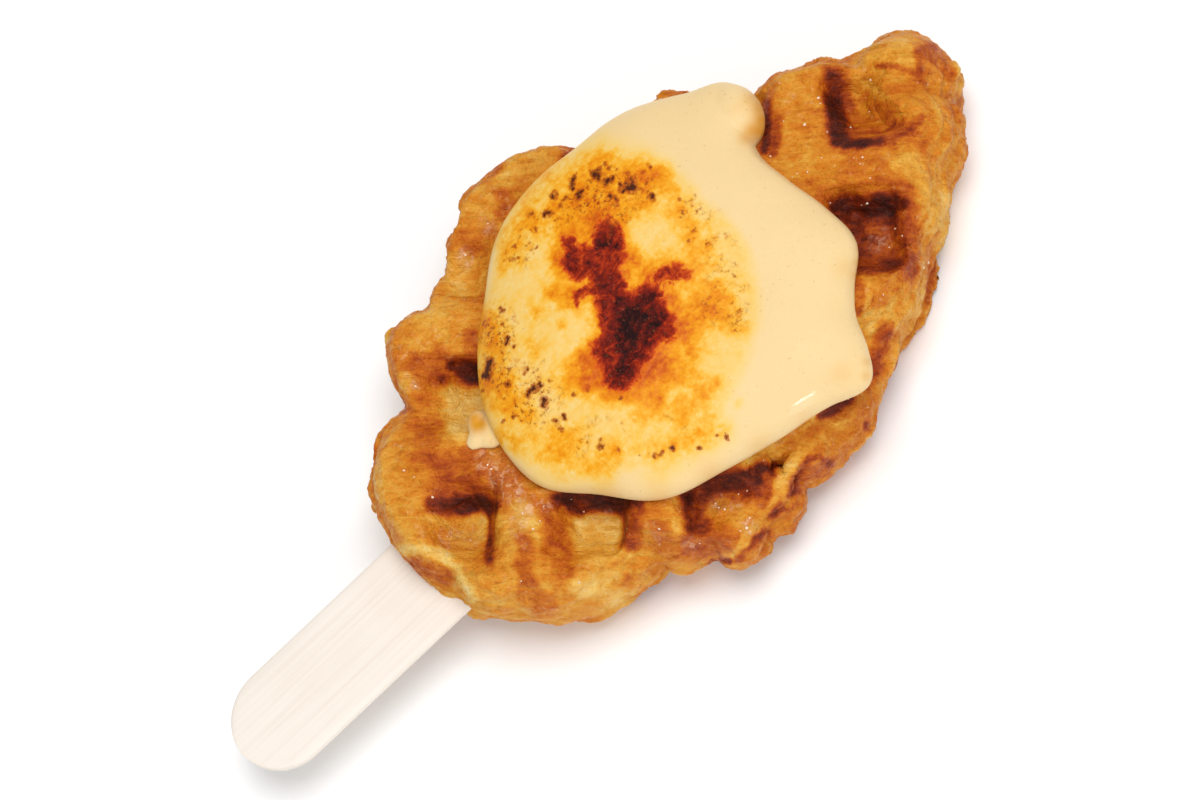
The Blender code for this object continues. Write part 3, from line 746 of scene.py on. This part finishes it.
def make_cream():
    unit, faces = ellipsoid((0, 0, 0, 1, 1, 1, 0), segments=160)
    reach = np.minimum(np.hypot(unit[:, 0], unit[:, 1]), 1.0)
    angle = np.arctan2(unit[:, 1], unit[:, 0])
    turns = angle + np.linspace(-0.5, 0.5, 9)[:, None]
    broad = rim_radius((turns + math.pi) % (2 * math.pi) - math.pi).mean(axis=0)
    radius = reach * (broad + (rim_radius(angle) - broad) * reach**3)
    body = np.maximum(1.0 - reach**SHOULDER, 0.0)**(1.0 / ROUNDNESS)
    height = body * np.where(unit[:, 2] > 0, CREAM_RISE, -CREAM_SINK)
    mound = np.stack((CREAM_CENTRE[0] + radius * np.cos(angle),
                      CREAM_CENTRE[1] + radius * np.sin(angle), RIM_HEIGHT + height), 1)
    cream = joined("torched_cream", [(mound, faces)] + [ellipsoid(blob) for blob in BLOBS])
    remesh(cream, CREAM_VOXEL)
    smooth(cream, CREAM_SMOOTHINGS)
    points, normals = surface_of(cream)
    points += normals * CREAM_SWELL * (1 - np.abs(normals[:, 2:]))
    masks = cream_masks(points)
    burn = masks["burn"]
    facing = smoothstep(0.2, 0.7, normals[:, 2])
    charred = smoothstep(0.3, 0.8, burn)
    relief = (0.35 * noise(points, 13, 41) + 0.12 * noise(points, 5, 42)
              - 0.35 * smoothstep(0.45, 0.9, burn) + 0.16 * fractal(points, 1.5, 3, 43) * charred
              + 0.05 * fractal(points, 1.1, 2, 44) * masks["toast"])
    points += normals * (relief * facing)[:, None]
    points[:, 2] = np.minimum(points[:, 2], RIM_HEIGHT + CREAM_RISE)
    set_points(cream, points)
    # painted shade on the knob's side and along the cream's rim, and the drip's own yellow
    masks["yellow_and_shade"] = blended(seen(points), YELLOW_AND_SHADE)
    masks["wet"] = patches(seen(points), WET)
    for name, values in masks.items():
        set_attribute(cream, name, values)
    return cream


def patches(picture, spots):
    """The strongest of a list of round spots at each point."""
    total = np.zeros(len(picture))
    for x, y, radius, strength in spots:
        out = np.hypot(picture[:, 0] - x, picture[:, 1] - y) / radius
        total = np.maximum(total, strength * smoothstep(1.5, 0.5, out))
    return total


def outlined(picture, outlines, spread=0):
    """The strongest of a list of soft-edged outlines at each point, spread out this far."""
    total = np.zeros(len(picture))
    for strength, soft, *outline in outlines:
        outline = in_pairs(outline + outline[:2])
        inside = np.zeros(len(picture), dtype=bool)
        for (ax, ay), (bx, by) in zip(outline, outline[1:]):
            crosses = (picture[:, 1] < ay) != (picture[:, 1] < by)
            inside ^= crosses & (picture[:, 0] < ax + (picture[:, 1] - ay) * (bx - ax) / (by - ay or 1))
        depth = stroke_distance(picture, outline) * np.where(inside, 1, -1)
        total = np.maximum(total, strength * smoothstep(-soft - spread, soft - spread / 2, depth))
    return total


def blended(picture, spots, spread=1.0):
    """Round spots run together, each spread over this many of its radii."""
    clear = np.ones(len(picture))
    for x, y, radius, strength in spots:
        out = np.hypot(picture[:, 0] - x, picture[:, 1] - y) / (radius * spread)
        clear *= 1 - 0.8 * strength * np.exp(-0.9 * out**2)
    return 1 - clear


def cream_masks(points):
    """How burnt, toasted, dotted and finely speckled the cream is, each from 0 to 1."""
    upper = smoothstep(RIM_HEIGHT - 2, RIM_HEIGHT + 1.5, points[:, 2])
    flat = points * (1, 1, 0)
    ragged = wander(flat, 1.4, 2, 51)
    wavy = wander(flat, 4.5, 2, 54)
    finer = wander(flat, 0.7, 1, 56)
    picture = seen(points)
    burn = outlined(picture + 2.6 * ragged + 1.6 * wavy, BURNS) * upper
    x, y, radius = TORCHED
    out = np.hypot(*(points[:, :2] - (x, y) + 0.9 * fractal(flat, 4.5, 3, 53)[:, None]).T) / radius
    disc = smoothstep(1.05, 0.93, out)
    halo = outlined(picture + 2.6 * ragged + 4 * wavy, BURNS, 9)
    toast = 0.18 * disc + 0.75 * np.minimum(halo, 0.8)
    toast += blended(picture + 1.5 * ragged + 4 * wavy, TOASTS)
    dots = blended(picture + 1.2 * ragged + 1.4 * finer, DOTS, 1.08) * upper
    speckled = patches(picture + 6 * wavy, SPECKLED) * disc * upper
    return {"burn": burn, "toast": 1.06 * np.tanh(toast) * upper, "dots": dots, "speckled": speckled}


# ---- sugar ----
GLINTS = (  # grains that show in the photograph: x, y and size in its pixels
    (819, 96, 5), (819, 102, 4), (805, 124, 5), (827, 132, 4), (861, 158, 4), (861, 163, 3),
    (809, 171, 4), (779, 83, 3), (869, 80, 4), (920, 83, 2), (867, 205, 5), (869, 178, 3),
    (782, 121, 2), (417, 385, 6), (466, 256, 5), (472, 258, 3), (487, 225, 3), (929, 264, 4),
    (926, 267, 3), (885, 296, 3), (714, 502, 4), (718, 506, 3), (724, 508, 4), (752, 518, 3),
    (746, 529, 5), (742, 532, 3), (658, 528, 4), (486, 464, 4), (492, 467, 4), (433, 497, 4),
    (521, 515, 4), (526, 522, 3), (545, 506, 3), (532, 530, 4), (520, 583, 3), (579, 583, 4),
    (402, 472, 4), (414, 477, 3), (831, 203, 3), (893, 229, 3), (901, 237, 3), (737, 494, 3),
    (852, 126, 3), (868, 112, 3), (946, 82, 2), (772, 155, 4), (796, 172, 3), (584, 514, 3),
    (592, 517, 2), (606, 521, 2), (540, 520, 3), (700, 545, 3), (660, 546, 3), (448, 536, 3),
    (470, 538, 3),
)
LOOSE_GRAINS = 60  # finer ones, all over the crust
GLINT_REACH = 2.5  # pixels within which a glint finds its point of the crust
PX = STICK_WIDTH / STICK_WIDTH_PX


def crystal(centre, size, draw):
    """A rough grain: a squashed ball with few sides and uneven corners."""
    lobe = (*centre, *(size * draw.uniform(0.6, 1.0, 3)), draw.uniform(0, 180))
    points, faces = ellipsoid(lobe, draw.uniform(-0.6, 0.6, 2), segments=6)
    return points + draw.uniform(-0.16, 0.16, points.shape) * size, faces


def make_sugar(pastry):
    """Grains on the crust: the ones that show in the photograph, and loose ones all over."""
    draw = np.random.RandomState(SEED + 1)
    points, normals = surface_of(pastry)
    picture = seen(points)
    depth = np.linalg.norm(points - np.array(PLACE), axis=1)
    bodies = []
    for x, y, size in GLINTS:
        near = np.flatnonzero(np.hypot(picture[:, 0] - x, picture[:, 1] - y) < GLINT_REACH)
        if len(near):
            top = near[np.argmin(depth[near])]
            bodies.append(crystal(points[top], 0.36 * size * PX, draw))
    upward = np.flatnonzero(normals[:, 2] > 0.25)
    for top in draw.choice(upward, LOOSE_GRAINS, replace=False):
        bodies.append(crystal(points[top], draw.uniform(0.10, 0.20), draw))
    return joined("sugar_grains", bodies)


# ---- stick ----
EDGE_ROUNDNESS = 0.35  # of its cross-section: 1 is an ellipse, 0 a sharp rectangle


def make_stick():
    """A flat stick lofted along X, with round ends and soft edges."""
    rings = 220
    around = 28
    radius = STICK_WIDTH / 2
    points = []
    for k in range(rings + 1):
        # stations bunch up at both ends, where the outline turns
        x = STICK_LENGTH / 2 * (1 - math.cos(math.pi * k / rings))
        from_end = min(x, STICK_LENGTH - x)
        half = radius if from_end > radius else math.sqrt(max(radius**2 - (radius - from_end)**2, 1e-4))
        for n in range(around):
            angle = 2 * math.pi * n / around
            c, s = math.cos(angle), math.sin(angle)
            y = half * math.copysign(abs(c)**EDGE_ROUNDNESS, c)
            z = STICK_THICKNESS / 2 * math.copysign(abs(s)**EDGE_ROUNDNESS, s)
            points.append((STICK_OUTER_END + x, STICK_Y + y, MID + z))
    faces = []
    for a in range(0, rings * around, around):
        b = a + around
        for n in range(around):
            m = (n + 1) % around
            faces.append((a + n, a + m, b + m, b + n))
    faces.append(range(around)[::-1])
    faces.append(range(rings * around, len(points)))
    return joined("wooden_stick", [(points, faces)])


# ---- materials ----
class Nodes:
    """Short names for making a material's nodes."""

    def __init__(self, name):
        self.material = bpy.data.materials.new(name)
        self.material.use_nodes = True
        self.tree = self.material.node_tree
        self.shader = self.tree.nodes["Principled BSDF"]
        scale = self.node("VectorMath")
        scale.operation = "SCALE"
        self.put(scale, {0: self.node("TexCoord").outputs["Object"], "Scale": 1 / MM})
        self.millimetres = scale.outputs[0]

    def put(self, node, values):
        """Set sockets to numbers, or link them to other nodes' outputs."""
        for socket, value in values.items():
            if isinstance(value, bpy.types.NodeSocket):
                self.tree.links.new(value, node.inputs[socket])
            else:
                node.inputs[socket].default_value = value

    def node(self, kind, values=None):
        node = self.tree.nodes.new("ShaderNode" + kind)
        self.put(node, values or {})
        return node

    def attribute(self, name):
        node = self.node("Attribute")
        node.attribute_name = name
        return node.outputs["Fac"]

    def math(self, operation, a, b=0.0, clamp=False):
        node = self.node("Math", {0: a, 1: b})
        node.operation = operation
        node.use_clamp = clamp
        return node.outputs[0]

    def product(self, first, *others):
        for value in others:
            first = self.math("MULTIPLY", first, value)
        return first

    def swing(self, pattern, amount):
        """A pattern from 0 to 1 made to swing about nought."""
        return self.product(self.math("SUBTRACT", pattern, 0.5), amount)

    def noise(self, size, detail=3.0, roughness=0.55, distortion=0.0, vector=None):
        node = self.node("TexNoise", {
            "Vector": vector or self.millimetres, "Scale": 1 / size, "Detail": detail,
            "Roughness": roughness, "Distortion": distortion})
        return node.outputs["Fac"]

    def stretch(self, turn, scale):
        """Coordinates turned about Z and then scaled, for grain that runs one way."""
        node = self.node("Mapping", {
            "Vector": self.millimetres, "Rotation": (0, 0, turn), "Scale": scale})
        node.vector_type = "TEXTURE"
        return node.outputs[0]

    def spread(self, value, low, high, to_low=0.0, to_high=1.0):
        node = self.node("MapRange", {
            "Value": value, "From Min": low, "From Max": high, "To Min": to_low, "To Max": to_high})
        node.interpolation_type = "SMOOTHSTEP"
        return node.outputs["Result"]

    def ramp(self, value, stops):
        node = self.node("ValToRGB", {"Fac": value})
        elements = node.color_ramp.elements
        while len(elements) < len(stops):
            elements.new(0.5)
        for element, (position, colour) in zip(elements, stops):
            element.position = position
            element.color = (*linear(colour), 1.0)
        return node.outputs["Color"]

    def mix(self, factor, base, colour):
        """A colour, constant or from another node, laid over another node's."""
        if isinstance(colour, tuple):
            colour = (*linear(colour), 1.0)
        node = self.node("Mix")
        node.data_type = "RGBA"
        self.put(node, {0: factor, 6: base, 7: colour})
        return node.outputs[2]

    def bump(self, height, distance, strength=1.0, normal=None):
        node = self.node("Bump", {"Distance": distance * MM, "Strength": strength, "Height": height})
        if normal:
            self.put(node, {"Normal": normal})
        return node.outputs["Normal"]


def linear(colour):
    """Linear values of a colour given in 0 to 255 steps."""
    return [((c / 255 + 0.055) / 1.055)**2.4 if c > 10 else c / 255 / 12.92 for c in colour]


def pastry_material():
    n = Nodes("baked_dough")
    fine = n.noise(0.55, 4, 0.65)
    spotty = n.noise(1.7, 5, 0.62, 0.4, vector=n.stretch(-ROLL, (1.7, 0.9, 1.2)))
    wide = n.noise(7, 4, 0.55)
    long = n.noise(1, 4, 0.62, 0.6, vector=n.stretch(-ROLL, (5.5, 0.9, 2.6)))
    # the crust's browning, with its painted shade, painted shadow and painted highlights
    browning_and_shading = n.attribute("browning_and_shading")
    for pattern, amount in ((fine, 0.26), (spotty, 0.5), (wide, 0.44), (long, 0.2)):
        browning_and_shading = n.math("ADD", browning_and_shading, n.swing(pattern, amount))
    colour = n.ramp(browning_and_shading, (
        (0, (244, 214, 148)), (0.14, (234, 190, 100)), (0.3, (222, 158, 54)), (0.44, (210, 128, 27)),
        (0.56, (193, 99, 13)), (0.68, (164, 66, 9)), (0.8, (122, 40, 10)), (0.9, (84, 26, 9)),
        (1, (54, 16, 9)),
    ))
    flecks = n.product(n.spread(n.noise(1.3, 3, 0.6), 0.56, 0.7),
                       n.spread(n.noise(9, 2), 0.42, 0.62), n.spread(browning_and_shading, 0.55, 0.75, 0.42, 0))
    colour = n.mix(flecks, colour, (236, 182, 118))
    moist = n.attribute("moist")
    smears = n.spread(n.noise(1.6, 4, 0.65, 0.6), 0.5, 0.64)
    colour = n.mix(n.product(moist, 0.3), colour, (176, 100, 62))
    colour = n.mix(n.product(moist, smears, 0.7), colour, (232, 186, 150))
    rough = n.spread(spotty, 0.35, 0.65, 0.28, 0.55)
    normal = n.bump(fine, 0.35)
    normal = n.bump(spotty, 0.8, 0.7, normal)
    n.put(n.shader, {
        "Base Color": colour, "Roughness": n.math("SUBTRACT", rough, n.product(moist, 0.15)),
        "Specular IOR Level": 0.18, "Subsurface Weight": 0.05, "Subsurface Scale": 1.5 * MM,
        "Subsurface Radius": (1, 0.4, 0.12), "Normal": n.bump(long, 0.6, 0.8, normal),
    })
    return n.material


def cream_material():
    n = Nodes("torched_cream")
    cloud = n.noise(2.4, 3, 0.6)
    grain = n.noise(0.55, 4, 0.7)
    blobs = n.noise(1, 3, 0.6)
    # plain and toasted cream, mottled where the torch has touched it
    toast = n.attribute("toast")
    touched = n.spread(toast, 0.04, 0.4)
    varied = n.math("ADD", n.swing(cloud, 0.7), n.swing(grain, 0.34))
    varied = n.math("ADD", varied, n.swing(blobs, 0.62))
    toast = n.math("ADD", toast, n.product(varied, touched), clamp=True)
    base = n.ramp(toast, (
        (0, (226, 197, 144)), (0.14, (228, 193, 116)), (0.3, (230, 180, 72)), (0.48, (228, 157, 26)),
        (0.66, (219, 132, 3)), (0.84, (202, 98, 2)), (1, (176, 66, 2)),
    ))
    # yellow: painted shade on the knob's side and along the rim, and the drip's own golden colour
    base = n.mix(n.math("MULTIPLY", n.attribute("yellow_and_shade"), 1.1, clamp=True), base, (206, 140, 22))
    # burns with ragged edges, and pale flecks that are partly ash and partly painted sheen on caramelised
    # ridges
    burn = n.attribute("burn")
    halo = n.spread(burn, 0.02, 0.34)
    edge = n.math("ADD", n.swing(n.noise(1.9, 5, 0.72, 0.8), 1.3), n.swing(n.noise(0.7, 2, 0.6, 0.5), 0.4))
    burn = n.math("ADD", burn, n.product(edge, halo), clamp=True)
    scorch = n.ramp(burn, (
        (0, (224, 146, 12)), (0.14, (217, 118, 3)), (0.26, (204, 86, 2)), (0.38, (178, 56, 2)),
        (0.52, (142, 32, 3)), (0.68, (102, 17, 4)), (0.84, (58, 9, 5)), (1, (30, 5, 5)),
    ))
    ash_and_sheen = n.spread(n.noise(0.45, 3, 0.6), 0.6, 0.7)
    scorch = n.mix(n.product(ash_and_sheen, n.spread(burn, 0.4, 0.8, 0, 0.55)), scorch, (164, 74, 50))
    colour = n.mix(n.spread(burn, 0.06, 0.3), base, scorch)
    # fine specks, pores and larger dots
    tiny = n.spread(n.noise(0.7, 3, 0.6, 0.3), 0.5, 0.66)
    density = n.math("ADD", n.attribute("speckled"), n.swing(n.noise(2, 3), 2))
    density = n.spread(density, 0.35, 0.95)
    mottled = n.spread(n.noise(1.3, 3, 0.65, 0.4), 0.46, 0.64)
    colour = n.mix(n.product(mottled, density, 0.5), colour, (204, 110, 8))
    colour = n.mix(n.product(tiny, density, 0.9), colour, (138, 58, 4))
    pores = n.product(n.spread(n.noise(0.7, 2, 0.5), 0.66, 0.74),
                      n.spread(n.noise(6, 2), 0.4, 0.6, 0.1, 0.35))
    colour = n.mix(pores, colour, (190, 130, 66))
    dots = n.attribute("dots")
    broken = n.swing(n.noise(0.6, 3, 0.7), 1.2)
    dots = n.math("ADD", dots, n.product(broken, n.spread(dots, 0.05, 0.35)))
    colour = n.mix(n.spread(dots, 0.08, 0.4, 0, 0.8), colour, (166, 70, 3))
    colour = n.mix(n.spread(dots, 0.36, 0.72, 0, 0.95), colour, (58, 16, 3))
    normal = n.bump(n.product(n.noise(0.8, 4, 0.7), burn), 0.4, 1, n.bump(grain, 0.08))
    n.put(n.shader, {
        "Base Color": colour, "Roughness": n.spread(burn, 0.15, 0.6, 0.34, 0.62),
        "Coat Weight": n.product(n.attribute("wet"), 0.6), "Coat Roughness": 0.09,
        "Specular IOR Level": 0.14, "Subsurface Weight": 0.08, "Subsurface Scale": 1.2 * MM,
        "Subsurface Radius": (1, 0.75, 0.4), "Normal": normal,
    })
    return n.material


def sugar_material():
    n = Nodes("sugar")
    colour = n.ramp(n.noise(0.8, 2), ((0.3, (226, 186, 150)), (0.7, (244, 222, 200))))
    n.put(n.shader, {
        "Base Color": colour, "Roughness": 0.2, "Subsurface Weight": 0.3,
        "Subsurface Scale": 0.4 * MM, "Subsurface Radius": (1, 0.8, 0.6),
        "Normal": n.bump(n.noise(0.2, 2), 0.03),
    })
    return n.material


def stick_material():
    n = Nodes("birch_wood")
    grain = n.noise(1, 4, 0.6, vector=n.stretch(0, (38, 0.8, 0.8)))
    tint = n.noise(14, 2)
    tone = n.math("ADD", n.product(grain, 0.7), n.product(tint, 0.3))
    colour = n.ramp(tone, ((0.25, (222, 209, 195)), (0.5, (229, 219, 208)), (0.75, (234, 226, 216))))
    n.put(n.shader, {"Base Color": colour, "Roughness": 0.62, "Normal": n.bump(grain, 0.05)})
    return n.material


def floor_material():
    n = Nodes("pale_floor")
    shade = n.ramp(n.noise(400, 2), ((0.3, (246, 246, 246)), (0.7, (250, 250, 250))))
    n.put(n.shader, {"Base Color": shade, "Roughness": 0.8})
    return n.material


# ---- stage ----
LIGHTS = (  # name; metres back, up and right of the middle; size; watts
    ("window", (1, 0.55, -0.1), 0.9, 9.6),
    ("reflector", (0.72, -0.675, 0.09), 0.7, 2.6),
    ("lamp", (0.728, -0.312, 0.12), 0.08, 0.3),
)
ROOM_LIGHT = 0.52
FLOOR_HALF = 2  # metres


def in_row(point):
    """A point in millimetres in the stick's frame, in metres in the row's frame."""
    return (Vector(point) + SHIFT) * MM


def add_camera():
    data = bpy.data.cameras.new("camera")
    data.lens = LENS
    data.sensor_width = SENSOR
    data.clip_start = 0.01
    data.clip_end = 20
    camera = in_scene("camera", data)
    matrix = Matrix((RIGHT, UP, BACK)).transposed().to_4x4()
    matrix.translation = in_row(PLACE)
    camera.matrix_world = matrix
    bpy.context.scene.camera = camera


def add_light(name, position, size, power):
    data = bpy.data.lights.new(name, "AREA")
    data.shape = "DISK"
    data.size = size
    data.energy = power
    light = in_scene(name, data)
    light.location = position
    light.rotation_euler = (in_row(AIM) - Vector(position)).to_track_quat("-Z", "Y").to_euler()


def add_stage():
    corners = [(x * FLOOR_HALF, y * FLOOR_HALF, 0) for x, y in ((-1, -1), (1, -1), (1, 1), (-1, 1))]
    floor = joined("floor", [(corners, [range(4)])])
    floor.data.materials.append(floor_material())
    for name, (behind, above, beside), size, power in LIGHTS:
        add_light(name, in_row(AIM) + BACK * behind + UP * above + RIGHT * beside, size, power)
    world = bpy.data.worlds.new("soft_white")
    world.use_nodes = True
    background = world.node_tree.nodes["Background"]
    background.inputs["Color"].default_value = (1, 1, 1, 1)
    background.inputs["Strength"].default_value = ROOM_LIGHT
    bpy.context.scene.world = world
    bpy.context.scene.view_settings.view_transform = "Standard"
    bpy.context.scene.view_settings.look = "None"


def main():
    add_camera()
    add_stage()
    pastry = make_pastry()
    sugar = make_sugar(pastry)
    finish_piece(pastry, "croffle", pastry_material())
    finish_piece(sugar, "", sugar_material())
    sugar.data.shade_flat()
    finish_piece(make_cream(), "cream", cream_material())
    finish_piece(make_stick(), "stick", stick_material())


main()
